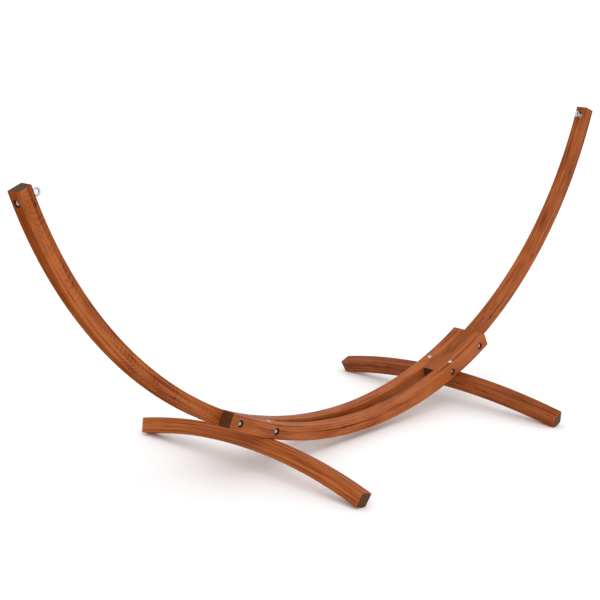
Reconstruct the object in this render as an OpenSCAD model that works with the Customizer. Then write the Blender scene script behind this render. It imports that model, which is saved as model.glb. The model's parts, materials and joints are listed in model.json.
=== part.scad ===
// Curved timber hammock stand. Two bent arms are clamped between two bent side beams,
// and two arched cross feet are bolted under the side beams, square to the arc.
// Frame: the origin is on the floor under the middle of the stand, +X runs towards
// the right arm, -Y is the front and +Z is up. All sizes are in millimetres.

/* [Arc] */
// Centre-line radius of the arc that the arms and the side beams share
arc_r = 1700; // [1400:10:2050]
// Height of the arc's underside above the floor
arc_gap = 27; // [15:1:60]
// Angle from straight down to the tip of each arm
tip_angle = 69.8; // [55:0.1:80]
// Angle from straight down to each end of the side beams
side_angle = 27; // [22:0.5:34]

/* [Timber] */
// Depth of the arms and the side beams, measured towards the arc's centre
beam_d = 60; // [48:1:80]
// Width of each arm
arm_w = 54; // [44:1:70]
// Width of each side beam
side_w = 56; // [44:1:70]
// Radius of the eased long edges
edge_r = 5; // [2:0.5:8]

/* [Joint] */
// Length of arm held between the side beams
arm_lap = 310; // [300:1:380]
// From a side beam's end to its first cross bolt
bolt_inset = 50; // [40:1:70]
// Between the two cross bolts of one joint
bolt_pitch = 203; // [195:1:215]

/* [Feet] */
// Length of a foot, across the tips of its underside
foot_len = 1120; // [800:10:1500]
// Depth of a foot
foot_d = 60; // [48:1:80]
// Width of a foot
foot_w = 54; // [40:1:58]
// From a side beam's end to the middle of the foot
foot_setback = 227; // [215:1:229]
// Depth of the seat cut into a foot's crown for the arc
foot_seat = 2; // [1.8:0.1:6]
// Gap on each side of the arc in that seat
seat_clear = 0.5; // [0.2:0.1:2]
// Height planed off the lowest corner of each foot end, to stand flat
pad_cut = 7.5; // [3:0.5:14]

/* [Bolts] */
// Thread size of every bolt
bolt_d = 8; // [6:0.5:10]
// Radial gap around a bolt in timber
bolt_clear = 0.5; // [0.2:0.1:1]
// Radial gap between a thread and its nut or washer
thread_clear = 0.05; // [0.02:0.01:0.2]
// Diameter of a domed head
head_d = 19; // [16:0.5:24]
// Height of a domed head, with its rim
head_h = 4.8; // [3:0.1:6]
// Height of the straight rim under the dome
head_rim = 1; // [0.5:0.1:2]
// Depth of the flat spot face under a domed head
spot_face = 0.5; // [0.3:0.1:1.5]
// Length of the square neck under a domed head
neck_len = 5; // [3:0.5:8]
// Gap around the square neck in its mortise
neck_clear = 0.1; // [0.05:0.05:0.5]
// Bolt end that shows past its nut
bolt_tail = 2.5; // [1:0.5:4]

/* [Nuts and washers] */
// Width of a nut across its flats
nut_af = 13; // [10:0.5:17]
// Height of a nut
nut_h = 6.8; // [5:0.1:8]
// Outer diameter of a washer
washer_d = 24; // [18:0.5:26]
// Thickness of a washer
washer_t = 1.6; // [1:0.1:2.5]
// Diameter of the counterbores
recess_d = 28; // [26.5:0.5:32]
// Depth of the counterbores that hide a nut
recess_h = 13; // [12:0.5:18]

/* [Eye bolts] */
// From an arm's tip to its eye bolt
eye_inset = 41; // [30:1:90]
// Extra thickness of the eye's rod over the thread
eye_rod_extra = 0.5; // [0.2:0.1:4]
// Diameter of the hole through the eye
eye_hole_d = 15; // [14:0.5:30]
// Gap between the arm's inner face and the eye
eye_gap = 5; // [3:0.5:20]
// Depth of the counterbore under the lock nut on the inner face
eye_recess_h = 13; // [6:0.5:15]

/* [Hidden] */

LEFT = -1;
RIGHT = 1;
FRONT = -1;
BACK = 1;
WOOD = "sienna";
STEEL = "silver";
round_fn = 64;
arc_fn = 720;
// Overrun of a cutter past the face that it cuts
past = 20;

// Arc: heights, radii and the angles that lengths along the centre line come to
outer_r = arc_r + beam_d / 2;
inner_r = arc_r - beam_d / 2;
centre_h = outer_r + arc_gap;
deg_per_mm = 180 / (PI * arc_r);
arm_end_angle = side_angle - arm_lap * deg_per_mm;
foot_angle = side_angle - foot_setback * deg_per_mm;
eye_angle = tip_angle - eye_inset * deg_per_mm;
cross_angles = [
    side_angle - bolt_inset * deg_per_mm,
    side_angle - (bolt_inset + bolt_pitch) * deg_per_mm
];
stack_w = arm_w + 2 * side_w;
side_y = (arm_w + side_w) / 2;

// Foot: its arch drops from the seat under the arc to the planed pads on the floor
crown_r = outer_r - foot_seat;
crown_h = centre_h - crown_r * cos(foot_angle);
foot_rise = (crown_h + pad_cut - foot_w / 2 * sin(foot_angle)) / cos(foot_angle) - foot_d;
foot_under_r = (pow(foot_len / 2, 2) + pow(foot_rise, 2)) / (2 * foot_rise);
foot_top_r = foot_under_r + foot_d;
foot_half_angle = asin(foot_len / 2 / foot_under_r);

// Fasteners: the height of a washer and nut stack with the bolt's end
fixing_h = washer_t + nut_h + bolt_tail;
eye_rod_d = bolt_d + eye_rod_extra;
eye_mid_r = (eye_hole_d + eye_rod_d) / 2;
eye_height = eye_gap + eye_hole_d / 2 + eye_rod_d;

// ---- Places -----------------------------------------------------------------------

// Puts children at an angle on the arc: +Z points at the arc's centre, +X up the arc
module on_arc(angle, radius) {
    translate([0, 0, centre_h]) rotate([0, -angle, 0]) translate([0, 0, -radius]) children();
}

// Puts children on both cross-bolt axes of one joint, with +Z towards the back
module on_cross_axes(side) {
    for (angle = cross_angles) on_arc(side * angle, arc_r) rotate([-90, 0, 0]) children();
}

// Puts children on both bolt axes of one foot, at a distance from the arc's centre
module on_foot_axes(side, radius) {
    for (row = [FRONT, BACK]) on_arc(side * foot_angle, radius) {
        translate([0, row * side_y, 0]) children();
    }
}

// ---- Timber -----------------------------------------------------------------------

// Rectangle with four rounded corners, centred
module eased_section(depth, width) {
    square([depth - 2 * edge_r, width], center = true);
    square([depth, width - 2 * edge_r], center = true);
    for (x = [-1, 1], y = [-1, 1]) {
        translate([x * (depth / 2 - edge_r), y * (width / 2 - edge_r)]) {
            circle(r = edge_r, $fn = round_fn);
        }
    }
}

// Bent beam of the main arc, between two angles from straight down
module arc_beam(from, to, y, width) {
    translate([0, y, centre_h]) rotate([90, 0, 0]) {
        rotate_extrude(start = from - 90, angle = to - from, $fn = arc_fn) {
            translate([arc_r, 0]) eased_section(beam_d, width);
        }
    }
}

// Clearance hole for a bolt, long enough for any stack of timber
module bolt_hole() {
    cylinder(d = bolt_d + 2 * bolt_clear, h = 2 * stack_w, center = true, $fn = round_fn);
}

// Counterbore that starts at z = 0 and cuts upwards by its depth and the overrun
module counterbore(depth) {
    cylinder(d = recess_d, h = depth + past, $fn = round_fn);
}

// Spot face and square mortise for a domed head that sits on z = 0
module head_seat() {
    cylinder(d = head_d + 2 * bolt_clear, h = past, $fn = round_fn);
    mortise = bolt_d + 2 * neck_clear;
    translate([-mortise / 2, -mortise / 2, -neck_len]) cube([mortise, mortise, neck_len + past]);
}

module cross_holes(side) {
    on_cross_axes(side) bolt_hole();
}

module foot_bolt_holes(side) {
    on_foot_axes(side, arc_r) bolt_hole();
}

// Arm from inside the joint to its tip, with the cross-bolt holes and the eye bolt's holes
module arm(side) {
    low = side > 0 ? arm_end_angle : -tip_angle;
    high = side > 0 ? tip_angle : -arm_end_angle;
    difference() {
        arc_beam(low, high, 0, arm_w);
        cross_holes(side);
        on_arc(side * eye_angle, arc_r) bolt_hole();
        on_arc(side * eye_angle, inner_r + eye_recess_h) counterbore(eye_recess_h);
        on_arc(side * eye_angle, outer_r - recess_h) mirror([0, 0, 1]) counterbore(recess_h);
    }
}

// Side beam with four cross-bolt holes and one bolt hole over each foot
module side_beam(row) {
    difference() {
        arc_beam(-side_angle, side_angle, row * side_y, side_w);
        for (side = [LEFT, RIGHT]) {
            cross_holes(side);
            foot_bolt_holes(side);
            on_foot_axes(side, inner_r + spot_face) head_seat();
            on_cross_axes(side) translate([0, 0, stack_w / 2 - spot_face]) head_seat();
            on_cross_axes(side) {
                translate([0, 0, recess_h - stack_w / 2]) mirror([0, 0, 1]) counterbore(recess_h);
            }
        }
    }
}

// Arch of a foot before it is seated, drilled and planed
module foot_arch(side) {
    on_arc(side * foot_angle, crown_r + foot_top_r) rotate([90, 0, 90]) {
        rotate_extrude(start = 90 - foot_half_angle, angle = 2 * foot_half_angle, $fn = arc_fn) {
            translate([foot_top_r - foot_d / 2, 0]) eased_section(foot_d, foot_w);
        }
    }
}

module foot(side) {
    seat_w = stack_w + 2 * seat_clear;
    difference() {
        foot_arch(side);
        translate([0, 0, centre_h]) rotate([90, 0, 0]) {
            cylinder(r = outer_r, h = seat_w, center = true, $fn = arc_fn);
        }
        foot_bolt_holes(side);
        on_foot_axes(side, crown_r + foot_d - recess_h) mirror([0, 0, 1]) counterbore(recess_h);
        translate([-outer_r, -foot_len, -foot_len]) cube([2 * outer_r, 2 * foot_len, foot_len]);
    }
}

// ---- Fasteners --------------------------------------------------------------------

// Round bolt with a chamfered end; its top is at z = 0 and it hangs down
module bolt_rod(length) {
    chamfer = bolt_d / 8;
    translate([0, 0, chamfer - length]) cylinder(d = bolt_d, h = length - chamfer, $fn = round_fn);
    translate([0, 0, -length]) {
        cylinder(d1 = bolt_d - 2 * chamfer, d2 = bolt_d, h = chamfer, $fn = round_fn);
    }
}

// Coach bolt: a domed head above z = 0, and a square neck and round rod below
module coach_bolt(length) {
    dome_h = head_h - head_rim;
    dome_r = (pow(head_d / 2, 2) + pow(dome_h, 2)) / (2 * dome_h);
    cylinder(d = head_d, h = head_rim, $fn = round_fn);
    intersection() {
        translate([0, 0, head_h - dome_r]) sphere(r = dome_r, $fn = 2 * round_fn);
        translate([0, 0, head_rim]) cylinder(d = head_d, h = head_h, $fn = round_fn);
    }
    translate([-bolt_d / 2, -bolt_d / 2, -neck_len]) cube([bolt_d, bolt_d, neck_len]);
    bolt_rod(length);
}

// Washer that sits on z = 0
module washer() {
    difference() {
        cylinder(d = washer_d, h = washer_t, $fn = round_fn);
        translate([0, 0, -past]) {
            cylinder(d = bolt_d + 2 * thread_clear, h = washer_t + 2 * past, $fn = round_fn);
        }
    }
}

// Hexagon nut that sits on z = 0, with its corners chamfered at both ends
module nut() {
    corner_r = nut_af / sqrt(3);
    bevel = corner_r - nut_af / 2;
    difference() {
        intersection() {
            cylinder(r = corner_r, h = nut_h, $fn = 6);
            rotate_extrude($fn = round_fn) polygon([
                [0, 0], [nut_af / 2, 0], [corner_r, bevel / 2],
                [corner_r, nut_h - bevel / 2], [nut_af / 2, nut_h], [0, nut_h]
            ]);
        }
        translate([0, 0, -past]) {
            cylinder(d = bolt_d + 2 * thread_clear, h = nut_h + 2 * past, $fn = round_fn);
        }
    }
}

// Eye bolt: the eye's middle is at z = 0 and its hole runs along Y
module eye_bolt(length) {
    rotate([90, 0, 0]) rotate_extrude($fn = 2 * round_fn) {
        translate([eye_mid_r, 0]) circle(d = eye_rod_d, $fn = round_fn);
    }
    translate([0, 0, -eye_mid_r]) bolt_rod(length - eye_mid_r);
}

// ---- Fastener groups --------------------------------------------------------------

cross_grip = stack_w - spot_face - recess_h;
foot_grip = crown_r + foot_d - recess_h - inner_r - spot_face;
eye_length = eye_height + beam_d - recess_h + fixing_h;

module cross_bolts(side) {
    color(STEEL) on_cross_axes(side) {
        translate([0, 0, stack_w / 2 - spot_face]) coach_bolt(cross_grip + fixing_h);
    }
}

module cross_washers(side) {
    color(STEEL) on_cross_axes(side) {
        translate([0, 0, recess_h - stack_w / 2]) mirror([0, 0, 1]) washer();
    }
}

module cross_nuts(side) {
    color(STEEL) on_cross_axes(side) {
        translate([0, 0, recess_h - washer_t - stack_w / 2]) mirror([0, 0, 1]) nut();
    }
}

module foot_bolts(side) {
    color(STEEL) on_foot_axes(side, inner_r + spot_face) coach_bolt(foot_grip + fixing_h);
}

module foot_washers(side) {
    color(STEEL) on_foot_axes(side, crown_r + foot_d - recess_h) mirror([0, 0, 1]) washer();
}

module foot_nuts(side) {
    color(STEEL) on_foot_axes(side, crown_r + foot_d - recess_h + washer_t) {
        mirror([0, 0, 1]) nut();
    }
}

module arm_eye_bolt(side) {
    color(STEEL) on_arc(side * eye_angle, inner_r - eye_height) eye_bolt(eye_length);
}

module eye_lock_washer(side) {
    color(STEEL) on_arc(side * eye_angle, inner_r + eye_recess_h) washer();
}

module eye_lock_nut(side) {
    color(STEEL) on_arc(side * eye_angle, inner_r + eye_recess_h - washer_t) nut();
}

module eye_washer(side) {
    color(STEEL) on_arc(side * eye_angle, outer_r - recess_h) mirror([0, 0, 1]) washer();
}

module eye_nut(side) {
    color(STEEL) on_arc(side * eye_angle, outer_r - recess_h + washer_t) mirror([0, 0, 1]) nut();
}

// ---- Nodes ------------------------------------------------------------------------

color(WOOD) arm(LEFT);  // left_arm
color(WOOD) arm(RIGHT);  // right_arm
color(WOOD) side_beam(FRONT);  // front_side_beam
color(WOOD) side_beam(BACK);  // back_side_beam
color(WOOD) foot(LEFT);  // left_foot
color(WOOD) foot(RIGHT);  // right_foot
cross_bolts(LEFT);  // left_cross_bolts
cross_washers(LEFT);  // left_cross_washers
cross_nuts(LEFT);  // left_cross_nuts
cross_bolts(RIGHT);  // right_cross_bolts
cross_washers(RIGHT);  // right_cross_washers
cross_nuts(RIGHT);  // right_cross_nuts
foot_bolts(LEFT);  // left_foot_bolts
foot_washers(LEFT);  // left_foot_washers
foot_nuts(LEFT);  // left_foot_nuts
foot_bolts(RIGHT);  // right_foot_bolts
foot_washers(RIGHT);  // right_foot_washers
foot_nuts(RIGHT);  // right_foot_nuts
arm_eye_bolt(LEFT);  // left_eye_bolt
eye_lock_washer(LEFT);  // left_eye_lock_washer
eye_lock_nut(LEFT);  // left_eye_lock_nut
eye_washer(LEFT);  // left_eye_washer
eye_nut(LEFT);  // left_eye_nut
arm_eye_bolt(RIGHT);  // right_eye_bolt
eye_lock_washer(RIGHT);  // right_eye_lock_washer
eye_lock_nut(RIGHT);  // right_eye_lock_nut
eye_washer(RIGHT);  // right_eye_washer
eye_nut(RIGHT);  // right_eye_nut
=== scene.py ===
"""Curved timber hammock stand: looks built round the packed frame.

Every size is in metres. The stand's middle is the origin, +X runs towards the right arm,
-Y is the front and the floor is z = 0.
"""

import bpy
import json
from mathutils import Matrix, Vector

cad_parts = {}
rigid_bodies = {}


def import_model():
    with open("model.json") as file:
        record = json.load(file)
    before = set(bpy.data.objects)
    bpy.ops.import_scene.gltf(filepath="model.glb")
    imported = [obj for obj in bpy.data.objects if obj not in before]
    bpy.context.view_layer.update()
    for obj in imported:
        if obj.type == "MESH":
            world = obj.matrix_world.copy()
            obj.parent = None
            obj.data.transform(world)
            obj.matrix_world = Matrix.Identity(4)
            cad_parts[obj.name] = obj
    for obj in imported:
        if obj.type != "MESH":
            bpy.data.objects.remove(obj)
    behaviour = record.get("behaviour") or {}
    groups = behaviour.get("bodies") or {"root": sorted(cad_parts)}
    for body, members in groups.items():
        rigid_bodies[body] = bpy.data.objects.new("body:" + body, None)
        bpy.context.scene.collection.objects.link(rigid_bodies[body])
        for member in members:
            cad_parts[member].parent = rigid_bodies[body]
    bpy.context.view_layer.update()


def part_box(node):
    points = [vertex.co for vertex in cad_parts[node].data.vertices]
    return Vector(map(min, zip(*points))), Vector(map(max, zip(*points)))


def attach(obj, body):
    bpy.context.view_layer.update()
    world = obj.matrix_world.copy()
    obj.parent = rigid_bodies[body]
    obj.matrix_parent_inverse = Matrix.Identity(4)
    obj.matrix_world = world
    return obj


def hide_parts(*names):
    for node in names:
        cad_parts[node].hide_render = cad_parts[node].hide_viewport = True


bl_info = {
    "name": "Hammock Stand",
    "version": (1, 0, 0),
    "blender": (4, 5, 0),
    "location": "View3D > Sidebar > Hammock Stand",
    "description": "Builds a curved timber hammock stand with its bolts and its studio stage",
    "category": "Add Mesh",
}

import json
import math
from typing import NamedTuple

import bmesh
import bpy
from mathutils import Matrix, Vector

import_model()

BODY = "root"
SIDES = {"left": -1, "right": 1}
ROWS = {"front": -1, "back": 1}
TURN = 2 * math.pi
FLIP = Matrix.Rotation(math.pi, 4, "X")
# How far a cutter runs past the face that it cuts
PAST = 0.02


# ---- Sizes and colours -------------------------------------------------------------


def length(name, description, default):
    return bpy.props.FloatProperty(
        name=name, description=description, default=default, min=0, unit="LENGTH", precision=4
    )


def share(name, description, default):
    return bpy.props.FloatProperty(
        name=name, description=description, default=default, min=0, max=1, subtype="FACTOR"
    )


def colour(name, description, default):
    return bpy.props.FloatVectorProperty(
        name=name, description=description, default=default, size=3, min=0, max=1, subtype="COLOR"
    )


def turning(name, description, degrees):
    return bpy.props.FloatProperty(
        name=name, description=description, default=math.radians(degrees), subtype="ANGLE"
    )


class TimberSizes(bpy.types.PropertyGroup):
    """Sizes of the bent arms, the side beams and the arched feet."""

    arc_radius: length("Arc radius", "Centre-line radius of the arms and side beams", 1.700)
    beam_depth: length("Beam depth", "Depth of the arms and side beams", 0.060)
    foot_length: length("Foot length", "Length across the tips of a foot's underside", 1.120)
    foot_depth: length("Foot depth", "Depth of a foot", 0.060)
    foot_width: length("Foot width", "Width of a foot", 0.054)
    foot_seat: length("Foot seat", "Depth of the seat in a foot's crown", 0.002)
    seat_clear: length("Seat clearance", "Gap on each side of the arc in that seat", 0.0005)
    pad_cut: length("Pad cut", "Height planed off the lowest corner of a foot's end", 0.0075)
    edge_radius: length("Edge radius", "Radius of the eased long edges", 0.005)
    end_ease: length("End ease", "Softening of the arc timbers' sawn ends", 0.0014)
    foot_ease: length("Foot end ease", "Rounding of the feet's sawn ends", 0.0036)
    mouth_ease: length("Bore ease", "Softening of a bore's mouth", 0.0007)


class FastenerSizes(bpy.types.PropertyGroup):
    """Sizes of the bolts, nuts, washers and eyes, and of their seats in the timber."""

    bolt: length("Bolt", "Thread size of every bolt", 0.008)
    pitch: length("Thread pitch", "Height of one turn of thread", 0.00125)
    bolt_clear: length("Bolt clearance", "Radial gap round a bolt in timber", 0.0005)
    thread_clear: length("Thread clearance", "Radial gap round a thread in a nut", 0.00005)
    head: length("Head", "Diameter of a domed head", 0.019)
    head_height: length("Head height", "Height of a domed head with its rim", 0.0048)
    head_rim: length("Head rim", "Height of the straight rim under the dome", 0.001)
    spot_face: length("Spot face", "Depth of the flat seat under a domed head", 0.0005)
    neck: length("Neck", "Length of the square neck under a domed head", 0.005)
    neck_clear: length("Neck clearance", "Gap round the square neck in its mortise", 0.0001)
    tail: length("Bolt tail", "Bolt end that shows past its nut", 0.0025)
    nut: length("Nut", "Width of a nut across its flats", 0.013)
    nut_height: length("Nut height", "Height of a nut", 0.0068)
    washer: length("Washer", "Outer diameter of a washer", 0.024)
    washer_thick: length("Washer thickness", "Thickness of a washer", 0.0016)
    recess: length("Counterbore", "Diameter of a counterbore", 0.028)
    recess_depth: length("Counterbore depth", "Depth of a counterbore that hides a nut", 0.013)
    eye_recess: length("Eye counterbore", "Depth of the counterbore under a lock nut", 0.013)
    eye_hole: length("Eye hole", "Diameter of the hole through an eye", 0.015)
    eye_rod: length("Eye rod", "Diameter of the rod that an eye is bent from", 0.0085)
    eye_gap: length("Eye gap", "Between an arm's inner face and its eye", 0.005)


class FinishColours(bpy.types.PropertyGroup):
    """Colours of the stained timber, the plated steel and the studio."""

    timber_light: colour("Light grain", "Stained timber between the growth rings", (0.400, 0.112, 0.030))
    timber_mid: colour("Middle grain", "Most of the stained timber", (0.272, 0.064, 0.0115))
    timber_dark: colour("Dark grain", "Late growth rings and streaks", (0.108, 0.0195, 0.0036))
    end_grain: colour("End grain", "Sawn ends, which soak up more stain", (0.090, 0.033, 0.012))
    knot: colour("Knot", "Heart of a knot", (0.040, 0.010, 0.004))
    steel: colour("Plated steel", "Bright zinc plating", (0.60, 0.61, 0.625))
    floor: colour("Floor", "Pale studio floor", (0.96, 0.96, 0.96))
    gloss: share("Timber gloss", "Strength of the satin lacquer", 0.24)


class CameraPlace(bpy.types.PropertyGroup):
    """Place and lens of the studio camera."""

    location: bpy.props.FloatVectorProperty(
        name="Location", description="Where the camera stands", default=(-4.205, -3.581, 1.910),
        size=3, subtype="TRANSLATION", unit="LENGTH",
    )
    heading: turning("Heading", "Turn from +Y towards +X", 47.256)
    downward: turning("Downward", "Tilt below the horizon", 13.982)
    roll: turning("Roll", "Turn about the view's own axis", 0.631)
    lens: bpy.props.FloatProperty(
        name="Lens", description="Focal length on a 36 mm sensor", default=86.6, unit="CAMERA",
    )


def sizes():
    return bpy.context.scene.stand_timber


def fasteners():
    return bpy.context.scene.stand_fasteners


def colours():
    return bpy.context.scene.stand_colours


# ---- Places, from the frame --------------------------------------------------------


def box_middle(node):
    low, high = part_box(node)
    return (low + high) / 2


def arc_centre():
    """The centre of the arc that the arms and the side beams share."""
    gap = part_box("front_side_beam")[0].z
    return Vector((0, 0, gap + sizes().beam_depth / 2 + sizes().arc_radius))


def inner_radius():
    return sizes().arc_radius - sizes().beam_depth / 2


def outer_radius():
    return sizes().arc_radius + sizes().beam_depth / 2


def on_arc(angle, radius, y=0.0):
    """Place on the arc: +Z points at the arc's centre and +X up the arc."""
    turn = Matrix.Rotation(-angle, 4, "Y")
    return Matrix.Translation(arc_centre()) @ turn @ Matrix.Translation((0, y, -radius))


def up(height):
    return Matrix.Translation((0, 0, height))


def angle_of(x, z):
    """Angle of a point on the arc, from straight down."""
    return math.atan2(x, arc_centre().z - z)


def angle_at(node):
    middle = box_middle(node)
    return angle_of(middle.x, middle.z)


def foot_angle(side):
    return angle_at(side + "_foot_washers")


def eye_angle(side):
    return angle_at(side + "_eye_washer")


def cross_angles(side):
    """Angles of one joint's two cross bolts; their washers' box holds both axes."""
    low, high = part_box(side + "_cross_washers")
    edge = fasteners().washer / 2
    outer_x, inner_x = high.x - edge, low.x + edge
    if SIDES[side] < 0:
        outer_x, inner_x = low.x + edge, high.x - edge
    return angle_of(outer_x, high.z - edge), angle_of(inner_x, low.z + edge)


def arm_angles(side):
    """Angles of an arm's tip and of its end inside the joint."""
    low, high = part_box(side + "_arm")
    far, near = max(abs(low.x), abs(high.x)), min(abs(low.x), abs(high.x))
    return SIDES[side] * math.asin(far / outer_radius()), SIDES[side] * math.asin(near / inner_radius())


def beam_end_angle():
    """Angle of the side beams' right end, where the right arm comes out of the joint."""
    return math.asin(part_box("front_side_beam")[1].x / outer_radius())


def arm_run(side):
    """Stretch along the arc from the joint to an arm's tip."""
    start, tip = SIDES[side] * beam_end_angle(), arm_angles(side)[0]
    return start * sizes().arc_radius, tip * sizes().arc_radius


def beam_run():
    """Stretch along the arc from a side beam's middle to its right end."""
    return 0.0, beam_end_angle() * sizes().arc_radius


def foot_run(side):
    """Stretch along a foot from its middle to one end."""
    radius, half = foot_arch(side)
    return 0.0, radius * half


def stack_half_width():
    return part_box("back_side_beam")[1].y


def foot_bolt_rows():
    return [row * box_middle("back_side_beam").y for row in ROWS.values()]


def foot_crown_radius():
    """Distance of a foot's uncut crown from the arc's centre."""
    return outer_radius() - sizes().foot_seat


def arc_bend():
    """Frame of the arc's bend: X along its axis, +Y to the right arm and +Z straight down."""
    frame_axes = Matrix(((0, 1, 0), (1, 0, 0), (0, 0, -1))).to_4x4()
    return Matrix.Translation(arc_centre()) @ frame_axes


def foot_bend(side):
    """Frame of a foot's bend: X along its axis and +Z up to the foot's crown."""
    radius = foot_arch(side)[0] + sizes().foot_depth / 2
    return on_arc(foot_angle(side), foot_crown_radius() + radius)


def foot_arch(side):
    """Radius of a foot's centre line, and half of the angle that the foot spans."""
    size = sizes()
    lean = abs(foot_angle(side))
    crown_height = arc_centre().z - foot_crown_radius() * math.cos(lean)
    lowest = crown_height + size.pad_cut - size.foot_width / 2 * math.sin(lean)
    rise = lowest / math.cos(lean) - size.foot_depth
    under = ((size.foot_length / 2) ** 2 + rise**2) / (2 * rise)
    return under + size.foot_depth / 2, math.asin(size.foot_length / 2 / under)


# ---- Solids ------------------------------------------------------------------------


def tidy(bm):
    """Merges doubles and turns every face outwards."""
    bmesh.ops.remove_doubles(bm, verts=bm.verts[:], dist=1e-6)
    bmesh.ops.recalc_face_normals(bm, faces=bm.faces[:])
    return bm


def turned(outline, steps=48, closed=False):
    """Solid turned about Z from (radius, height) points; a closed outline makes a ring."""
    bm = bmesh.new()
    verts = [bm.verts.new((radius, 0, height)) for radius, height in outline]
    pairs = list(zip(verts, verts[1:])) + ([(verts[-1], verts[0])] if closed else [])
    edges = [bm.edges.new(pair) for pair in pairs]
    bmesh.ops.spin(
        bm, geom=verts + edges, cent=(0, 0, 0), axis=(0, 0, 1), dvec=(0, 0, 0),
        angle=TURN, steps=steps, use_merge=True, use_normal_flip=False, use_duplicate=False,
    )
    return tidy(bm)


def section(depth, width, ease, segments=6):
    """Flat section in the XZ plane, width along X and depth along Z, with eased corners."""
    bm = bmesh.new()
    bmesh.ops.create_grid(bm, x_segments=1, y_segments=1, size=0.5)
    bmesh.ops.scale(bm, vec=(width, depth, 1), verts=bm.verts[:])
    if ease:
        bmesh.ops.bevel(
            bm, geom=bm.verts[:], offset=ease, offset_type="OFFSET", segments=segments,
            profile=0.5, affect="VERTICES", material=-1,
        )
    bmesh.ops.rotate(bm, cent=(0, 0, 0), matrix=Matrix.Rotation(TURN / 4, 3, "X"), verts=bm.verts[:])
    return bm


def bent(flat, bend, radius, start, end, offset=0.0, step=0.012):
    """Sweeps a flat section round a bend from one angle to another, as timber on a former.

    The bend's frame has its origin at the bend's centre and its X along the bend's axis;
    angles are measured from its +Z towards its +Y.
    """
    place = bend @ Matrix.Rotation(-start, 4, "X") @ Matrix.Translation((offset, 0, radius))
    bmesh.ops.transform(flat, matrix=place, verts=flat.verts[:])
    bmesh.ops.spin(
        flat, geom=flat.faces[:] + flat.edges[:] + flat.verts[:], cent=bend.translation,
        axis=bend.col[0].to_3d(), dvec=(0, 0, 0), angle=start - end,
        steps=max(2, round(abs(end - start) * radius / step)),
        use_merge=False, use_normal_flip=False, use_duplicate=False,
    )
    return tidy(flat)


def ease_ends(bm, amount):
    """Softens the edges of the two sawn ends, which are the faces with most corners."""
    ends = sorted(bm.faces, key=lambda face: len(face.verts))[-2:]
    edges = {edge for end in ends for edge in end.edges}
    bmesh.ops.bevel(
        bm, geom=list(edges), offset=amount, offset_type="OFFSET", segments=3,
        profile=0.5, affect="EDGES", clamp_overlap=True, material=-1,
    )
    return bm


def moved(bm, matrix):
    bmesh.ops.transform(bm, matrix=matrix, verts=bm.verts[:])
    if matrix.determinant() < 0:
        bmesh.ops.reverse_faces(bm, faces=bm.faces[:])
    return bm


def joined(parts):
    """One bmesh that holds every given bmesh."""
    whole = bmesh.new()
    for part in parts:
        mesh = to_mesh(part, "part")
        whole.from_mesh(mesh)
        bpy.data.meshes.remove(mesh)
    return whole


def to_mesh(bm, name):
    mesh = bpy.data.meshes.new(name)
    bm.to_mesh(mesh)
    bm.free()
    return mesh


def to_object(bm, name):
    piece = bpy.data.objects.new(name, to_mesh(bm, name))
    bpy.context.scene.collection.objects.link(piece)
    return piece


def combined(bm, other, operation):
    """Boolean of two solids; faces that the second one leaves take its material index."""
    piece, tool = to_object(bm, "piece"), to_object(other, "tool")
    modifier = piece.modifiers.new("shape", "BOOLEAN")
    modifier.operation = operation
    modifier.object = tool
    modifier.solver = "MANIFOLD"
    bpy.context.view_layer.update()
    shaped = bpy.data.meshes.new_from_object(piece.evaluated_get(bpy.context.evaluated_depsgraph_get()))
    result = bmesh.new()
    result.from_mesh(shaped)
    for spare in (piece, tool):
        mesh = spare.data
        bpy.data.objects.remove(spare)
        bpy.data.meshes.remove(mesh)
    bpy.data.meshes.remove(shaped)
    return result


def marked(bm, index):
    """Gives every face of a cutter a material index, which the faces it cuts then take."""
    for face in bm.faces:
        face.material_index = index
    return bm


# ---- Timber ------------------------------------------------------------------------


def cross_bore():
    """Cutter for a cross bolt, with z = 0 in the stack's middle and +Z to the back."""
    size, ease, half = fasteners(), sizes().mouth_ease, stack_half_width()
    bore, recess = size.bolt / 2 + size.bolt_clear, size.recess / 2
    spot = size.head / 2 + size.bolt_clear
    return marked(turned([
        (0, -half - PAST),
        (recess + ease + PAST, -half - PAST),
        (recess, -half + ease),
        (recess, -half + size.recess_depth),
        (bore, -half + size.recess_depth),
        (bore, half - size.spot_face),
        (spot, half - size.spot_face),
        (spot, half + PAST),
        (0, half + PAST),
    ]), 1)


def foot_bore():
    """Cutter for a foot bolt, with z = 0 on the arc's inner face and +Z to its centre."""
    size, timber = fasteners(), sizes()
    bore, recess = size.bolt / 2 + size.bolt_clear, size.recess / 2
    spot = size.head / 2 + size.bolt_clear
    bottom = -(foot_crown_radius() + timber.foot_depth - inner_radius())
    return marked(turned([
        (0, PAST),
        (spot, PAST),
        (spot, -size.spot_face),
        (bore, -size.spot_face),
        (bore, bottom + size.recess_depth),
        (recess, bottom + size.recess_depth),
        (recess, bottom + timber.mouth_ease),
        (recess + timber.mouth_ease + PAST, bottom - PAST),
        (0, bottom - PAST),
    ]), 1)


def eye_bore():
    """Cutter for an eye bolt, with z = 0 on the arm's inner face and +Z to the arc's centre."""
    size, timber = fasteners(), sizes()
    bore, recess = size.bolt / 2 + size.bolt_clear, size.recess / 2
    bottom = -timber.beam_depth
    return marked(turned([
        (0, PAST),
        (recess + timber.mouth_ease + PAST, PAST),
        (recess, -timber.mouth_ease),
        (recess, -size.eye_recess),
        (bore, -size.eye_recess),
        (bore, bottom + size.recess_depth),
        (recess, bottom + size.recess_depth),
        (recess, bottom + timber.mouth_ease),
        (recess + timber.mouth_ease + PAST, bottom - PAST),
        (0, bottom - PAST),
    ]), 1)


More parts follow.
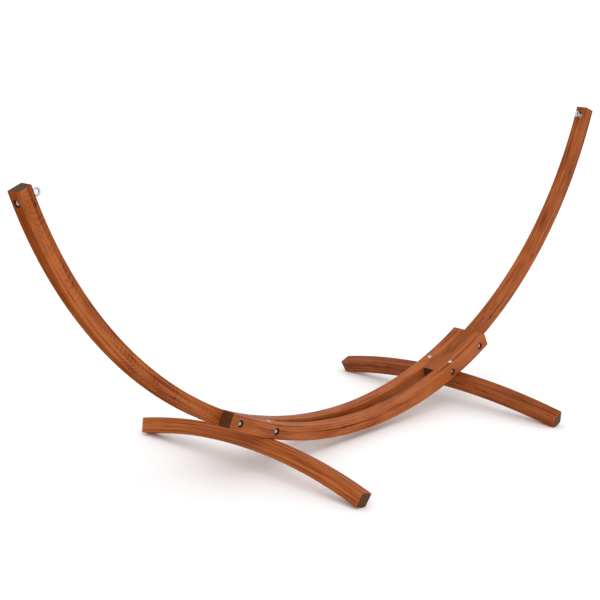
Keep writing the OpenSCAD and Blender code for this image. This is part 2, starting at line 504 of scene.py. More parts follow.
def mortise():
    """Cutter for the square neck of a coach bolt whose head sits on z = 0."""
    size = fasteners()
    side = size.bolt + 2 * size.neck_clear
    bm = bmesh.new()
    bmesh.ops.create_cube(bm, size=1)
    bmesh.ops.scale(bm, vec=(side, side, 2 * size.neck), verts=bm.verts[:])
    return marked(bm, 1)


def on_cross_axis(angle):
    """Place on a cross bolt's axis, in the stack's middle, with +Z to the back."""
    return on_arc(angle, sizes().arc_radius) @ Matrix.Rotation(-TURN / 4, 4, "X")


def cross_bores():
    """Bores of all four cross bolts, and the mortises of their necks."""
    axes = [on_cross_axis(angle) for side in SIDES for angle in cross_angles(side)]
    seat = up(stack_half_width() - fasteners().spot_face)
    bores = [moved(cross_bore(), axis) for axis in axes]
    return joined(bores), joined(moved(mortise(), axis @ seat) for axis in axes)


def foot_bores():
    """Bores of all four foot bolts, and the mortises of their necks."""
    axes = [
        on_arc(foot_angle(side), inner_radius(), y) for side in SIDES for y in foot_bolt_rows()
    ]
    seat = up(-fasteners().spot_face)
    bores = [moved(foot_bore(), axis) for axis in axes]
    return joined(bores), joined(moved(mortise(), axis @ seat) for axis in axes)


def arc_timber(start, end, low_y, high_y):
    """Bent timber of the arc between two angles, with softened ends."""
    size = sizes()
    flat = section(size.beam_depth, high_y - low_y, size.edge_radius)
    bm = bent(flat, arc_bend(), size.arc_radius, start, end, offset=(low_y + high_y) / 2)
    return ease_ends(bm, size.end_ease)


def cut(bm, *cutters):
    for cutter in cutters:
        bm = combined(bm, cutter, "DIFFERENCE")
    return bm


def arm(side):
    low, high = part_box(side + "_arm")
    tip, end = arm_angles(side)
    bm = arc_timber(end, tip, low.y, high.y)
    eye = moved(eye_bore(), on_arc(eye_angle(side), inner_radius()))
    return cut(bm, cross_bores()[0], eye)


def side_beam(row):
    low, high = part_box(row + "_side_beam")
    end = math.asin(high.x / outer_radius())
    bm = arc_timber(-end, end, low.y, high.y)
    return cut(bm, *cross_bores(), *foot_bores())


def seat_cutter(side):
    """Block of the arc that a foot's seat is cut to."""
    size = sizes()
    depth, reach = 2 * PAST, 2 * size.foot_width / outer_radius()
    flat = section(depth, 2 * (stack_half_width() + size.seat_clear), 0)
    middle = foot_angle(side)
    radius = outer_radius() - depth / 2
    return bent(flat, arc_bend(), radius, middle - reach, middle + reach, step=0.004)


def foot(side):
    """Arched foot: bent, seated under the arc, bored, and planed to stand flat."""
    size = sizes()
    radius, half = foot_arch(side)
    flat = section(size.foot_depth, size.foot_width, size.edge_radius)
    bm = ease_ends(bent(flat, foot_bend(side), radius, -half, half), size.foot_ease)
    planed = bmesh.ops.bisect_plane(
        bm, geom=bm.verts[:] + bm.edges[:] + bm.faces[:], plane_co=(0, 0, 0),
        plane_no=(0, 0, 1), clear_inner=True, dist=1e-7,
    )
    rim = [item for item in planed["geom_cut"] if isinstance(item, bmesh.types.BMEdge)]
    bmesh.ops.holes_fill(bm, edges=rim, sides=0)
    tidy(bm)
    return cut(bm, seat_cutter(side), foot_bores()[0])


# ---- Fasteners ---------------------------------------------------------------------


def thread(length):
    """Rod with a helical thread, from z = 0 down to its chamfered end."""
    size, per_turn = fasteners(), 24
    crest, pitch = size.bolt / 2, size.pitch
    root = crest - 0.58 * pitch
    climb, top, fall = 0.25 * pitch, 0.56 * pitch, 0.69 * pitch
    turns = math.ceil(length / pitch) + 4
    outline = [(root, 0), (root, climb), (crest, top), (crest, fall), (root, pitch)]
    bm = bmesh.new()
    verts = [bm.verts.new((radius, 0, height - 2 * pitch)) for radius, height in outline]
    edges = [bm.edges.new(pair) for pair in zip(verts, verts[1:])]
    bmesh.ops.spin(
        bm, geom=verts + edges, cent=(0, 0, 0), axis=(0, 0, 1), dvec=(0, 0, pitch / per_turn),
        angle=TURN * turns, steps=per_turn * turns, use_merge=False, use_normal_flip=False,
        use_duplicate=False,
    )
    bmesh.ops.remove_doubles(bm, verts=bm.verts[:], dist=1e-6)
    for height, way in ((-pitch / 2, -1), (length + pitch / 2, 1)):
        sliced = bmesh.ops.bisect_plane(
            bm, geom=bm.verts[:] + bm.edges[:] + bm.faces[:], plane_co=(0, 0, height),
            plane_no=(0, 0, way), clear_outer=True, dist=1e-7,
        )
        rim = [item for item in sliced["geom_cut"] if isinstance(item, bmesh.types.BMEdge)]
        bmesh.ops.holes_fill(bm, edges=rim, sides=0)
    bmesh.ops.translate(bm, vec=(0, 0, -length), verts=bm.verts[:])
    tidy(bm)
    chamfer, over = size.bolt / 8, 1.02
    return combined(bm, turned([
        (0, 0), (crest * over, 0), (crest * over, chamfer - length), (crest - chamfer, -length),
        (0, -length),
    ]), "INTERSECT")


def rod(radius, top, bottom):
    """Plain round rod between two heights."""
    return turned([(0, top), (radius, top), (radius, bottom), (0, bottom)])


def domed_head():
    """Domed head of a coach bolt, above z = 0, with a softened rim."""
    size, soft = fasteners(), 0.0003
    radius, dome = size.head / 2, size.head_height - size.head_rim
    curve = (radius**2 + dome**2) / (2 * dome)
    half = math.asin(radius / curve)
    arc = [half * i / 10 for i in range(11)]
    outline = [(curve * math.sin(a), size.head_height - curve * (1 - math.cos(a))) for a in arc]
    return turned(outline + [(radius, soft), (radius - soft, 0), (0, 0)], steps=64)


def coach_bolt(length):
    """Coach bolt: a domed head above z = 0, a square neck, a plain shank and a thread."""
    size, lap = fasteners(), 0.0005
    threaded = 0.030
    neck = bmesh.new()
    bmesh.ops.create_cube(neck, size=1)
    bmesh.ops.scale(neck, vec=(size.bolt, size.bolt, size.neck + lap), verts=neck.verts[:])
    bmesh.ops.translate(neck, vec=(0, 0, (lap - size.neck) / 2), verts=neck.verts[:])
    shank = rod(size.bolt / 2 * 0.995, -size.neck + lap, threaded - length - lap)
    bolt = combined(domed_head(), neck, "UNION")
    bolt = combined(bolt, shank, "UNION")
    return combined(bolt, moved(thread(threaded), up(threaded - length)), "UNION")


def washer():
    """Flat washer that sits on z = 0, with softened edges."""
    size, soft = fasteners(), 0.0002
    hole, edge, top = size.bolt / 2 + size.thread_clear, size.washer / 2, size.washer_thick
    return turned([
        (hole, 0), (edge - soft, 0), (edge, soft), (edge, top - soft), (edge - soft, top),
        (hole + soft, top), (hole, top - soft),
    ], steps=64, closed=True)


def nut():
    """Hexagon nut that sits on z = 0, its corners turned off and its hole countersunk."""
    size, over = fasteners(), 0.001
    flat, top = size.nut / 2, size.nut_height
    corner = flat / math.cos(TURN / 12)
    slope = math.tan(TURN / 12)
    bm = bmesh.new()
    bmesh.ops.create_cone(
        bm, cap_ends=True, cap_tris=False, segments=6, radius1=corner, radius2=corner, depth=top,
    )
    turn = Matrix.Rotation(TURN / 12, 4, "Z")
    bmesh.ops.transform(bm, matrix=Matrix.Translation((0, 0, top / 2)) @ turn, verts=bm.verts[:])
    face = flat * 0.95
    drop = (corner + over - face) * slope
    bm = combined(bm, turned([
        (0, -over), (face - over / slope, -over), (corner + over, drop), (corner + over, top - drop),
        (face - over / slope, top + over), (0, top + over),
    ], steps=96), "INTERSECT")
    hole, sink = size.bolt / 2 + size.thread_clear, 0.0005
    return combined(bm, turned([
        (0, -over), (hole + sink + over, -over), (hole, sink), (hole, top - sink),
        (hole + sink + over, top + over), (0, top + over),
    ]), "DIFFERENCE")


def eye_bolt():
    """Forged eye bolt: the eye's middle is at z = 0 and its hole runs along Y."""
    size = fasteners()
    middle, thick = (size.eye_hole + size.eye_rod) / 2, size.eye_rod / 2
    length = eye_height() + sizes().beam_depth - size.recess_depth + fixing_height()
    circle = [TURN * i / 20 for i in range(20)]
    ring = turned([(middle + thick * math.cos(a), thick * math.sin(a)) for a in circle], 96, closed=True)
    moved(ring, Matrix.Rotation(TURN / 4, 4, "X"))
    flare, shank = 0.0022, size.bolt / 2
    root = middle + thick
    quarter = [TURN / 4 * i / 6 for i in range(7)]
    neck = [
        (shank + flare * (1 - math.sin(a)), -root - flare * math.cos(a) + flare / 2) for a in quarter
    ]
    outline = [(0, -middle), (shank + flare, -middle)] + neck[::-1]
    outline += [(shank, -root - flare), (0, -root - flare)]
    slab = bmesh.new()
    bmesh.ops.create_cube(slab, size=1)
    bmesh.ops.scale(slab, vec=(PAST, size.eye_rod * 0.99, 2 * length), verts=slab.verts[:])
    bolt = combined(ring, combined(turned(outline), slab, "INTERSECT"), "UNION")
    start = root + flare * 0.9
    return combined(bolt, moved(thread(length - start), up(-start)), "UNION")


def eye_height():
    """From an arm's inner face to its eye's middle."""
    size = fasteners()
    return size.eye_gap + size.eye_hole / 2 + size.eye_rod


def fixing_height():
    """Height of a washer, a nut and the bolt's end past them."""
    size = fasteners()
    return size.washer_thick + size.nut_height + size.tail


def copies(master, places):
    """One bmesh with a copy of a master mesh at each place."""
    whole = bmesh.new()
    for place in places:
        before = len(whole.verts)
        whole.from_mesh(master)
        whole.verts.ensure_lookup_table()
        bmesh.ops.transform(whole, matrix=place, verts=whole.verts[before:])
    return whole


def masters(bolt):
    """Meshes of a bolt, a washer and a nut, to be copied to every place."""
    return [to_mesh(bm, "master") for bm in (bolt, washer(), nut())]


def cross_fasteners():
    """Fasteners of both joints: heads at the back, washers and nuts in the front bores."""
    size, half = fasteners(), stack_half_width()
    bolt_length = 2 * half - size.spot_face - size.recess_depth + fixing_height()
    bolt, disc, hexagon = masters(coach_bolt(bolt_length))
    seat, floor = up(half - size.spot_face), up(size.recess_depth - half) @ FLIP
    on_washer = up(size.washer_thick)
    for side in SIDES:
        axes = [on_cross_axis(angle) for angle in cross_angles(side)]
        yield side + "_cross_bolts", copies(bolt, [axis @ seat for axis in axes])
        yield side + "_cross_washers", copies(disc, [axis @ floor for axis in axes])
        yield side + "_cross_nuts", copies(hexagon, [axis @ floor @ on_washer for axis in axes])


def foot_fasteners():
    """Fasteners of both feet: heads on the side beams, washers and nuts under the foot."""
    size = fasteners()
    seat = inner_radius() + size.spot_face
    floor = foot_crown_radius() + sizes().foot_depth - size.recess_depth
    bolt, disc, hexagon = masters(coach_bolt(floor - seat + fixing_height()))
    for side in SIDES:
        angle = foot_angle(side)
        heads = [on_arc(angle, seat, y) for y in foot_bolt_rows()]
        ends = [on_arc(angle, floor, y) @ FLIP for y in foot_bolt_rows()]
        yield side + "_foot_bolts", copies(bolt, heads)
        yield side + "_foot_washers", copies(disc, ends)
        yield side + "_foot_nuts", copies(hexagon, [end @ up(size.washer_thick) for end in ends])


def eye_fasteners():
    """Eye bolts, each with a lock nut on its arm's inner face and a nut in the outer face."""
    size = fasteners()
    bolt, disc, hexagon = masters(eye_bolt())
    for side in SIDES:
        angle = eye_angle(side)
        inner = on_arc(angle, inner_radius() + size.eye_recess)
        outer = on_arc(angle, outer_radius() - size.recess_depth) @ FLIP
        yield side + "_eye_bolt", copies(bolt, [on_arc(angle, inner_radius() - eye_height())])
        yield side + "_eye_lock_washer", copies(disc, [inner])
        yield side + "_eye_lock_nut", copies(hexagon, [inner @ up(size.washer_thick)])
        yield side + "_eye_washer", copies(disc, [outer])
        yield side + "_eye_nut", copies(hexagon, [outer @ up(size.washer_thick)])


# ---- Shader graphs -----------------------------------------------------------------


class Value:
    """A number socket of a shader graph; arithmetic on it adds the Math nodes."""

    def __init__(self, graph, socket):
        self.graph = graph
        self.socket = socket

    def math(self, operation, *others):
        return self.graph.math(operation, self, *others)

    def __add__(self, other):
        return self.math("ADD", other)

    def __sub__(self, other):
        return self.math("SUBTRACT", other)

    def __mul__(self, other):
        return self.math("MULTIPLY", other)

    def __truediv__(self, other):
        return self.math("DIVIDE", other)

    def __rsub__(self, other):
        return self.graph.math("SUBTRACT", other, self)

    __radd__ = __add__
    __rmul__ = __mul__


class Graph:
    """Nodes of one material."""

    def __init__(self, name):
        self.material = bpy.data.materials.new(name)
        self.material.use_nodes = True
        self.tree = self.material.node_tree
        self.tree.nodes.clear()

    def node(self, kind, settings=None, **sockets):
        """Adds a node: its settings first, then the values or links of its sockets."""
        node = self.tree.nodes.new(kind)
        for key, value in (settings or {}).items():
            setattr(node, key, value)
        for key, value in sockets.items():
            found = [s for s in node.inputs if s.name.replace(" ", "_") == key and s.enabled]
            self.feed(found[0], value)
        return node

    def feed(self, socket, value):
        if isinstance(value, Value):
            value = value.socket
        if isinstance(value, bpy.types.NodeSocket):
            self.tree.links.new(value, socket)
        else:
            socket.default_value = value

    def math(self, operation, *values):
        node = self.tree.nodes.new("ShaderNodeMath")
        node.operation = operation
        for socket, value in zip(node.inputs, values):
            self.feed(socket, value)
        return Value(self, node.outputs[0])

    def vector(self, x, y, z):
        return self.node("ShaderNodeCombineXYZ", X=x, Y=y, Z=z).outputs[0]

    def parts(self, vector):
        split = self.node("ShaderNodeSeparateXYZ", Vector=vector)
        return [Value(self, socket) for socket in split.outputs]

    def ramp(self, value, low, high):
        """Smooth step of a value from 0 at low to 1 at high."""
        settings = {"interpolation_type": "SMOOTHSTEP"}
        node = self.node("ShaderNodeMapRange", settings, Value=value, From_Min=low, From_Max=high)
        return Value(self, node.outputs[0])

    def noise(self, vector, detail=3.0, roughness=0.55, distortion=0.0):
        """Noise about 0.5 whose features are about one unit of the vector long."""
        node = self.node(
            "ShaderNodeTexNoise", Vector=vector, Scale=1.0, Detail=detail,
            Roughness=roughness, Distortion=distortion,
        )
        return Value(self, node.outputs["Fac"])

    def mix(self, factor, first, second):
        """Colour between two colours."""
        node = self.node("ShaderNodeMix", {"data_type": "RGBA", "clamp_factor": True})
        colour_sockets = node.inputs[0], node.inputs[6], node.inputs[7]
        for socket, value in zip(colour_sockets, (factor, first, second)):
            self.feed(socket, value)
        return node.outputs[2]

    def bump(self, height, strength, distance):
        node = self.node("ShaderNodeBump", Height=height, Strength=strength, Distance=distance)
        return node.outputs[0]

    def surface(self, **sockets):
        """Principled shader with these sockets, joined to the material's output."""
        shader = self.node("ShaderNodeBsdfPrincipled", **sockets)
        self.node("ShaderNodeOutputMaterial", Surface=shader.outputs[0])
        return self.material


def rgba(three):
    return (*three, 1.0)


# ---- Finishes ----------------------------------------------------------------------


def bend_places(graph, bend, radius):
    """Position along, across and out of a bent timber; how far a face looks along it and out."""
    turn = bend.to_euler()
    coordinates = graph.node("ShaderNodeTexCoord")
    place = graph.node(
        "ShaderNodeMapping", {"vector_type": "TEXTURE"}, Vector=coordinates.outputs["Object"],
        Location=bend.translation[:], Rotation=turn[:],
    )
    facing = graph.node(
        "ShaderNodeMapping", {"vector_type": "TEXTURE"}, Vector=coordinates.outputs["Normal"],
        Rotation=turn[:],
    )
    across, a, b = graph.parts(place.outputs[0])
    _, facing_a, facing_b = graph.parts(facing.outputs[0])
    reach = (a * a + b * b).math("SQRT")
    along = a.math("ARCTAN2", b) * radius
    end = ((facing_a * b - facing_b * a) / reach).math("ABSOLUTE")
    outward = (facing_a * a + facing_b * b) / reach
    return along, across, reach - radius, end, outward


class Knot(NamedTuple):
    """A knot with a dark crack through it, placed at shares of its timber."""

    run: float  # how far along the timber's run, from 0 at its start to 1 at its end
    rise: float  # how far out from the middle of the depth
    radius: float
    crack: float  # length of the crack to each side of the knot
    thin: float  # half of the crack's width


class Figure(NamedTuple):
    """Grain of one timber, and its own place in the noise."""

    heart: tuple  # the tree's heart in the section: across and out
    ring: float  # width of a growth ring
    taper: float  # how fast the rings run out along the timber, which draws arrowheads
    seed: float
    knots: tuple = ()
    painted_outer_shade: float = 0.0  # how strongly the outer face is painted darker as painted shade, with its lacquer thinned there
    pale: float = 0.0  # how much lighter this timber is than the others
    bands: float = 0.42  # strength of its growth rings
    bold: float = 1.0  # strength of its broad streaks


FIGURES = {
    "left_arm": Figure((0.052, -0.002), 0.0032, 0.15, 4.0, (
        Knot(0.95, -0.25, 0.005, 0.05, 0.003), Knot(0.20, 0.15, 0.004, 0.12, 0.002),
    ), painted_outer_shade=1.0, pale=-0.02, bands=0.27),
    "right_arm": Figure((-0.012, -0.070), 0.0075, -0.004, 23.0, (
        Knot(0.10, -0.20, 0.007, 0.10, 0.003), Knot(0.15, -0.25, 0.005, 0.09, 0.003),
        Knot(0.40, -0.10, 0.006, 0.05, 0.003), Knot(0.75, -0.10, 0.005, 0.06, 0.002),
    ), painted_outer_shade=1.0, pale=-0.03, bold=0.8),
    "front_side_beam": Figure((-0.020, -0.075), 0.0105, 0.003, 41.0, (
        Knot(-0.20, -0.10, 0.0055, 0.30, 0.0020), Knot(-0.15, -0.10, 0.004, 0.07, 0.0042),
        Knot(-0.10, -0.10, 0.002, 0.24, 0.0028),
    ), pale=0.22),
    "back_side_beam": Figure((0.015, 0.080), 0.0090, -0.004, 67.0, pale=0.14),
    "left_foot": Figure((0.030, -0.080), 0.0110, 0.006, 88.0, pale=0.10, bold=0.40),
    "right_foot": Figure((0.045, 0.010), 0.0050, 0.030, 105.0, (
        Knot(-0.40, 0.15, 0.005, 0.08, 0.002),
    ), pale=-0.27, bands=0.22, bold=0.5),
}


def stained_timber(name, bend, radius, depth, width, offset, run, figure):
    """Stained, lacquered timber whose grain follows the bend; knots lie along its run."""
    graph, tint = Graph(name), colours()
    along, across, out, end, outward = bend_places(graph, bend, radius)
    across = across - offset

    def grain(length, girth, shift, detail=3.0, roughness=0.55):
        place = graph.vector(along / length + (figure.seed + shift), across / girth, out / girth)
        return graph.noise(place, detail, roughness) - 0.5

    knots, cracks, swirl = 0.0, 0.0, 0.0
    for knot in figure.knots:
        ahead = along - (run[0] + (run[1] - run[0]) * knot.run)
        aside = out - depth * knot.rise
        gone = (ahead * ahead * 0.35 + aside * aside).math("SQRT")
        round_knot = 1.0 - graph.ramp(gone, knot.radius * 0.5, knot.radius * 4.0)
        swirl = swirl + round_knot * (knot.radius * 0.9)
        knots = knots + (1.0 - graph.ramp(gone, knot.radius * 0.4, knot.radius * 1.3))
        bow = aside + grain(0.12, 0.5, 17.0) * 0.010
        near = 1.0 - graph.ramp(bow.math("ABSOLUTE"), knot.thin * 0.3, knot.thin * 1.5)
        fade = graph.ramp(ahead.math("ABSOLUTE"), knot.crack * 0.1, knot.crack)
        cracks = cracks + near * (1.0 - fade)

    from_heart_w, from_heart_d = across - figure.heart[0], out - figure.heart[1]
    rings = (from_heart_w * from_heart_w + from_heart_d * from_heart_d).math("SQRT")
    drift = grain(0.35, 0.10, 3.1, 2.0) * 0.016 + grain(0.06, 0.025, 7.7, 2.0) * 0.0018
    phase = ((rings + along * figure.taper + drift + swirl) / figure.ring).math("FRACT")
    late = graph.ramp(phase, 0.35, 0.85) * (1.0 - graph.ramp(phase, 0.88, 1.0))
    late = late * (graph.ramp(grain(0.16, 0.03, 15.1, 2.0), -0.12, 0.12) * 0.8 + 0.2)

    lines = grain(0.55, 0.0058, 11.3, 2.0)
    streaks = grain(0.16, 0.0075, 5.9)
    patches = grain(0.14, 0.045, 9.1, 2.0)
    fibres = grain(0.040, 0.0024, 1.7)
    flecks = graph.ramp(grain(0.030, 0.0024, 13.9, 2.0), 0.19, 0.27)

    tone = lines * 1.8 + (streaks + patches) * (figure.bold * 1.1) + fibres * 0.22
    tone = tone - late * figure.bands + (figure.pale + 0.13)
    light = graph.ramp(tone, 0.02, 0.42)
    dark = graph.ramp(tone, 0.02, -0.44)
    body = graph.mix(light * 0.85, rgba(tint.timber_mid), rgba(tint.timber_light))
    body = graph.mix(dark * 0.85, body, rgba(tint.timber_dark))
    body = graph.mix(flecks * 0.35 + cracks * 0.75, body, rgba(tint.timber_dark))
    body = graph.mix(knots * 0.85, body, rgba(tint.knot)) if figure.knots else body

    # Painted shade: the outer faces, which look down and away from the light, are mixed towards the dark
    # grain colour; their coat is thinned as well
    painted_outer_shade = graph.ramp(outward, 0.55, 0.95) * figure.painted_outer_shade
    body = graph.mix(painted_outer_shade * 0.30, body, rgba(tint.timber_dark))

    # Eased long edges are lightened: partly wear, partly a painted highlight along the rounded edges
    edge_w = graph.ramp(across.math("ABSOLUTE"), width / 2 - 0.0052, width / 2 - 0.0012)
    edge_d = graph.ramp(out.math("ABSOLUTE"), depth / 2 - 0.0052, depth / 2 - 0.0012)
    wear_and_highlight = edge_w * edge_d * graph.ramp(grain(0.05, 0.02, 2.3, 4.0, 0.65), -0.20, 0.12)
    body = graph.mix(wear_and_highlight * 0.40, body, rgba(tint.timber_light))

    sawn = graph.ramp(end, 0.55, 0.92)
    sawn_grain = graph.mix(late * 0.5 + fibres * 0.6, rgba(tint.end_grain), rgba(tint.knot))
    body = graph.mix(sawn, body, sawn_grain)
    # Painted highlight, partly wear: the rounded rim where a face turns into a sawn end is lightened
    rim = graph.ramp(end, 0.15, 0.45) * (1.0 - graph.ramp(end, 0.80, 0.97))
    body = graph.mix(rim * 0.55, body, rgba(tint.timber_light))

    relief = fibres * 0.3 + late * 0.2 - flecks * 0.2
    rough = 0.42 + late * 0.05 + fibres * 0.12 + sawn * 0.20 + wear_and_highlight * 0.05
    return graph.surface(
        Base_Color=body, Roughness=rough, Specular_IOR_Level=0.0,
        Coat_Weight=tint.gloss * (1.0 - painted_outer_shade) if figure.painted_outer_shade else tint.gloss,
        Coat_Roughness=0.24, Normal=graph.bump(relief, 0.35, 0.0004),
    )


def bored_timber():
    """Walls of the bores, painted very dark: partly the cut grain's deeper stain, partly painted shade
    inside the recesses.
    """
    graph, tint = Graph("bored_timber"), colours()
    place = graph.node("ShaderNodeTexCoord").outputs["Object"]
    grain = graph.noise(graph.node("ShaderNodeMapping", Vector=place, Scale=(160, 700, 700)).outputs[0])
    body = graph.mix(grain, rgba(tint.knot), rgba(tint.timber_dark))
    return graph.surface(Base_Color=body, Roughness=0.75, Normal=graph.bump(grain, 0.4, 0.0003))


def plated_steel():
    """Bright zinc-plated steel with a faint mottle and hairline scratches."""
    graph, tint = Graph("plated_steel"), colours()
    place = graph.node("ShaderNodeTexCoord").outputs["Object"]

    def scaled(x, y, z):
        return graph.node("ShaderNodeMapping", Vector=place, Scale=(x, y, z)).outputs[0]

    mottle = graph.noise(scaled(420, 420, 420), 4.0, 0.6)
    haze = graph.noise(scaled(90, 90, 90), 2.0, 0.5)
    scratches = graph.ramp(graph.noise(scaled(300, 2600, 300), 3.0, 0.7, 0.6), 0.58, 0.70)
    dull = tuple(channel * 0.62 for channel in tint.steel)
    body = graph.mix(graph.ramp(mottle + haze * 0.5, 0.95, 0.50), rgba(tint.steel), rgba(dull))
    rough = 0.20 + mottle * 0.14 + haze * 0.08 + scratches * 0.10
    relief = mottle * 0.4 - scratches * 0.3
    return graph.surface(
        Base_Color=body, Metallic=1.0, Roughness=rough, Normal=graph.bump(relief, 0.18, 0.0001),
    )


# ---- Studio ------------------------------------------------------------------------


def studio_floor():
    """Wide pale floor with the faintest unevenness."""
    bm = bmesh.new()
    bmesh.ops.create_grid(bm, x_segments=8, y_segments=8, size=120)
    floor = to_object(bm, "studio_floor")
    graph = Graph("studio_floor")
    place = graph.node("ShaderNodeTexCoord").outputs["Object"]
    haze = graph.noise(graph.node("ShaderNodeMapping", Vector=place, Scale=(0.7, 0.7, 0.7)).outputs[0])
    shade = tuple(channel * 0.985 for channel in colours().floor)
    floor.data.materials.append(graph.surface(
        Base_Color=graph.mix(haze, rgba(shade), rgba(colours().floor)), Roughness=0.8,
    ))


def soft_sun(towards, spread, strength):
    """Very wide sun, as even as a large soft box, that shines from a direction."""
    data = bpy.data.lights.new("soft_sun", "SUN")
    data.angle = spread
    data.energy = strength
    light = bpy.data.objects.new("soft_sun", data)
    light.rotation_euler = Vector(towards).to_track_quat("Z", "Y").to_euler()
    bpy.context.scene.collection.objects.link(light)


def studio_lights():
    """A bright room, dimmer towards the horizon, with one wide light from the front left."""
    world = bpy.data.worlds.new("studio")
    world.use_nodes = True
    tree = world.node_tree
    look = tree.nodes.new("ShaderNodeTexCoord")
    split = tree.nodes.new("ShaderNodeSeparateXYZ")
    rise = tree.nodes.new("ShaderNodeMapRange")
    tree.links.new(look.outputs["Generated"], split.inputs[0])
    tree.links.new(split.outputs["Z"], rise.inputs["Value"])
    for name, value in {"From Min": 0.0, "From Max": 0.7, "To Min": 0.78, "To Max": 1.00}.items():
        rise.inputs[name].default_value = value
    tree.links.new(rise.outputs[0], tree.nodes["Background"].inputs["Color"])
    bpy.context.scene.world = world
    soft_sun((-0.48, -0.70, 0.60), math.radians(90), 1.1)
    settings = bpy.context.scene.view_settings
    settings.view_transform = "Standard"
    settings.look = "None"


def studio_camera():
    """Camera beyond the left arm's front, looking down the stand."""
    place = bpy.context.scene.stand_camera
    data = bpy.data.cameras.new("studio_camera")
    data.sensor_width = 36
    data.lens = place.lens
    camera = bpy.data.objects.new("studio_camera", data)
    heading = Matrix.Rotation(-place.heading, 4, "Z")
    tilt = Matrix.Rotation(TURN / 4 - place.downward, 4, "X")
    camera.matrix_world = (
        Matrix.Translation(place.location) @ heading @ tilt @ Matrix.Rotation(place.roll, 4, "Z")
    )
    bpy.context.scene.collection.objects.link(camera)
    bpy.context.scene.camera = camera


# ---- Pieces on the frame -----------------------------------------------------------


def finish(bm, node, materials):
    """Makes a piece that stands for a CAD node, with its finish, riding on the body."""
    piece = to_object(bm, node + "_look")
    for material in materials:
        piece.data.materials.append(material)
    piece.data.shade_smooth()
    piece.data.set_sharp_from_angle(angle=math.radians(38))
    weighted = piece.modifiers.new("flat faces stay flat", "WEIGHTED_NORMAL")
    weighted.keep_sharp = True
    check_place(piece, node)
    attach(piece, BODY)
    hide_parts(node)


def check_place(piece, node, allowed=0.0015):
    """Stops the script if a piece isn't where its CAD node is."""
    corners = [Vector(corner) for corner in piece.bound_box]
    low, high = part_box(node)
    for axis in range(3):
        low_gap = abs(min(corner[axis] for corner in corners) - low[axis])
        high_gap = abs(max(corner[axis] for corner in corners) - high[axis])
        if max(low_gap, high_gap) > allowed:
            raise RuntimeError(f"{piece.name} is {max(low_gap, high_gap) * 1000:.1f} mm off its node")


def finish_arc_timber(bm, node, run):
    """Finishes an arm or a side beam with timber that follows the arc."""
    size = sizes()
    low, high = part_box(node)
    timber = stained_timber(
        node + "_timber", arc_bend(), size.arc_radius, size.beam_depth, high.y - low.y,
        (low.y + high.y) / 2, run, FIGURES[node],
    )
    finish(bm, node, [timber, bored()])


def finish_fasteners(pieces):
    steel = bpy.data.materials.get("plated_steel") or plated_steel()
    for node, bm in pieces:
        finish(bm, node, [steel])
    spare = [mesh for mesh in bpy.data.meshes if not mesh.users]
    bpy.data.batch_remove(spare)


def bored():
    return bpy.data.materials.get("bored_timber") or bored_timber()


# ---- Operators ---------------------------------------------------------------------


class STAND_OT_arms(bpy.types.Operator):
    """Builds the two bent arms"""

    bl_idname = "stand.arms"
    bl_label = "Arms"

    def execute(self, context):
        for side in SIDES:
            finish_arc_timber(arm(side), side + "_arm", arm_run(side))
        return {"FINISHED"}


class STAND_OT_side_beams(bpy.types.Operator):
    """Builds the two side beams that clamp the arms"""

    bl_idname = "stand.side_beams"
    bl_label = "Side beams"

    def execute(self, context):
        for row in ROWS:
            finish_arc_timber(side_beam(row), row + "_side_beam", beam_run())
        return {"FINISHED"}


class STAND_OT_feet(bpy.types.Operator):
    """Builds the two arched feet"""

    bl_idname = "stand.feet"
    bl_label = "Feet"

    def execute(self, context):
        size = sizes()
        for side in SIDES:
            node = side + "_foot"
            timber = stained_timber(
                node + "_timber", foot_bend(side), foot_arch(side)[0], size.foot_depth,
                size.foot_width, 0.0, foot_run(side), FIGURES[node],
            )
            finish(foot(side), node, [timber, bored()])
        return {"FINISHED"}


class STAND_OT_cross_bolts(bpy.types.Operator):
    """Builds the bolts, washers and nuts of the two joints"""

    bl_idname = "stand.cross_bolts"
    bl_label = "Cross bolts"

    def execute(self, context):
        finish_fasteners(cross_fasteners())
        return {"FINISHED"}


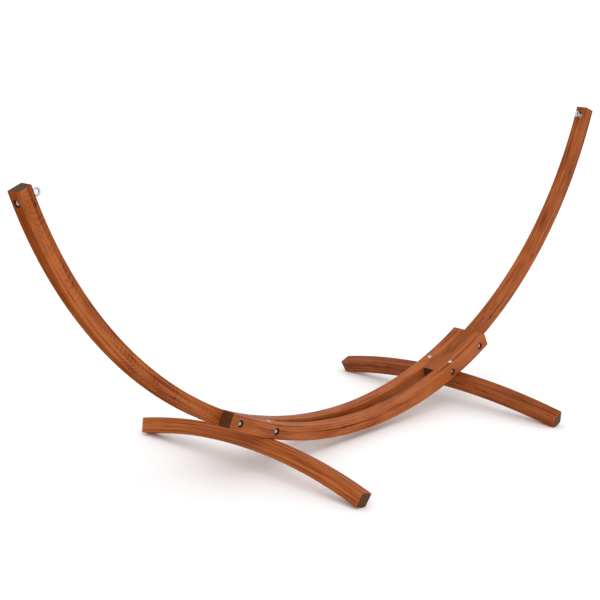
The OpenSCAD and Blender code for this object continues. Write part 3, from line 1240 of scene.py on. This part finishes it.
class STAND_OT_foot_bolts(bpy.types.Operator):
    """Builds the bolts, washers and nuts of the two feet"""

    bl_idname = "stand.foot_bolts"
    bl_label = "Foot bolts"

    def execute(self, context):
        finish_fasteners(foot_fasteners())
        return {"FINISHED"}


class STAND_OT_eye_bolts(bpy.types.Operator):
    """Builds the eye bolts at the arms' tips, with their nuts and washers"""

    bl_idname = "stand.eye_bolts"
    bl_label = "Eye bolts"

    def execute(self, context):
        finish_fasteners(eye_fasteners())
        return {"FINISHED"}


class STAND_OT_stage(bpy.types.Operator):
    """Builds the studio: a pale floor, soft lights and the camera"""

    bl_idname = "stand.stage"
    bl_label = "Studio stage"

    def execute(self, context):
        studio_floor()
        studio_lights()
        studio_camera()
        return {"FINISHED"}


OPERATORS = (
    STAND_OT_arms, STAND_OT_side_beams, STAND_OT_feet, STAND_OT_cross_bolts,
    STAND_OT_foot_bolts, STAND_OT_eye_bolts, STAND_OT_stage,
)
GROUPS = {
    "stand_timber": TimberSizes, "stand_fasteners": FastenerSizes, "stand_colours": FinishColours,
    "stand_camera": CameraPlace,
}


class STAND_PT_panel(bpy.types.Panel):
    """Lists the builders and the sizes that they use"""

    bl_idname = "STAND_PT_panel"
    bl_label = "Hammock Stand"
    bl_space_type = "VIEW_3D"
    bl_region_type = "UI"
    bl_category = "Hammock Stand"

    def draw(self, context):
        for operator in OPERATORS:
            self.layout.operator(operator.bl_idname)
        for group, kind in GROUPS.items():
            box = self.layout.box()
            box.label(text=kind.__doc__)
            for field in kind.__annotations__:
                box.prop(getattr(context.scene, group), field)


def register():
    for kind in (*GROUPS.values(), *OPERATORS, STAND_PT_panel):
        bpy.utils.register_class(kind)
    for group, kind in GROUPS.items():
        setattr(bpy.types.Scene, group, bpy.props.PointerProperty(type=kind))


def unregister():
    for group in GROUPS:
        delattr(bpy.types.Scene, group)
    for kind in (STAND_PT_panel, *OPERATORS, *GROUPS.values()):
        bpy.utils.unregister_class(kind)


def main():
    register()
    for operator in OPERATORS:
        group, name = operator.bl_idname.split(".")
        getattr(getattr(bpy.ops, group), name)()


if __name__ == "__main__":
    main()
